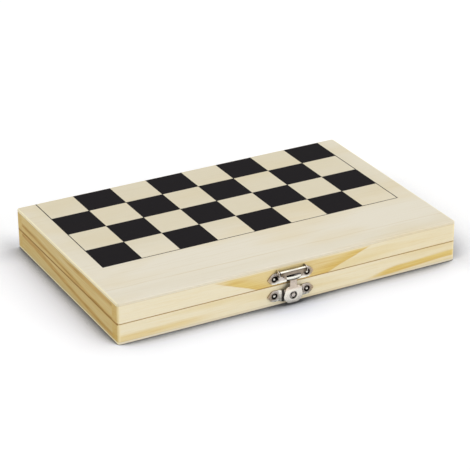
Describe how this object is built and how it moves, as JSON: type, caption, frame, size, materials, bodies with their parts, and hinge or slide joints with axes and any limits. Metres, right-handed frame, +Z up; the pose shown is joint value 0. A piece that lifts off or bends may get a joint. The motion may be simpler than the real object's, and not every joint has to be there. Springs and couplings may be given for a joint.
{
  "type": "travel chess set",
  "caption": "Flat folding wooden box with half a chessboard on each outer face, back hinges, a metal snap catch and turned chessmen lying inside.",
  "frame": {"origin": "middle of the shut box's underside", "axes": "+X along the box, from left to right as seen from the catch; +Y from the catch to the hinges; +Z up"},
  "size_m": [0.216, 0.1456, 0.025],
  "materials": {
    "pine": "smooth bare pine",
    "plywood": "smooth pale plywood",
    "board_ink": "matt black print in the wood's face",
    "nickel": "bright nickel plate",
    "hinge_steel": "nickel-plated steel",
    "light_men": "clear-varnished turned wood",
    "dark_men": "black-stained turned wood"
  },
  "bodies": {
    "lower_tray": {"bottom_panel": "plywood", "bottom_front_rail": "pine", "bottom_back_rail": "pine", "bottom_left_rail": "pine", "bottom_right_rail": "pine", "bottom_print": "board_ink", "left_hinge_lower_leaf": "hinge_steel", "right_hinge_lower_leaf": "hinge_steel", "left_hinge_pin": "hinge_steel", "right_hinge_pin": "hinge_steel", "lower_hinge_screws": "hinge_steel", "keeper_plate": "nickel", "keeper_nails": "nickel", "white_king": "light_men", "white_queen": "light_men", "white_bishop_1": "light_men", "white_bishop_2": "light_men", "white_knight_1": "light_men", "white_knight_2": "light_men", "white_rook_1": "light_men", "white_rook_2": "light_men", "white_pawn_1": "light_men", "white_pawn_2": "light_men", "white_pawn_3": "light_men", "white_pawn_4": "light_men", "white_pawn_5": "light_men", "white_pawn_6": "light_men", "white_pawn_7": "light_men", "white_pawn_8": "light_men", "black_king": "dark_men", "black_queen": "dark_men", "black_bishop_1": "dark_men", "black_bishop_2": "dark_men", "black_knight_1": "dark_men", "black_knight_2": "dark_men", "black_rook_1": "dark_men", "black_rook_2": "dark_men", "black_pawn_1": "dark_men", "black_pawn_2": "dark_men", "black_pawn_3": "dark_men", "black_pawn_4": "dark_men", "black_pawn_5": "dark_men", "black_pawn_6": "dark_men", "black_pawn_7": "dark_men", "black_pawn_8": "dark_men"},
    "lid": {"top_panel": "plywood", "top_front_rail": "pine", "top_back_rail": "pine", "top_left_rail": "pine", "top_right_rail": "pine", "top_print": "board_ink", "left_hinge_upper_leaf": "hinge_steel", "right_hinge_upper_leaf": "hinge_steel", "upper_hinge_screws": "hinge_steel", "catch_plate": "nickel", "catch_plate_nails": "nickel", "catch_pin": "nickel"},
    "tongue": {"catch_tongue": "nickel"}
  },
  "joints": [
    {"name": "lid_hinge", "type": "hinge", "parent": "lower_tray", "child": "lid", "pos_m": [0, 0.07015, 0.0125], "axis": [-1, 0, 0], "range_deg": [0, 180]},
    {"name": "tongue_swing", "type": "hinge", "parent": "lid", "child": "tongue", "pos_m": [-0.0014, -0.0721, 0.0201], "axis": [-1, 0, 0], "range_deg": [0, 170]}
  ]
}
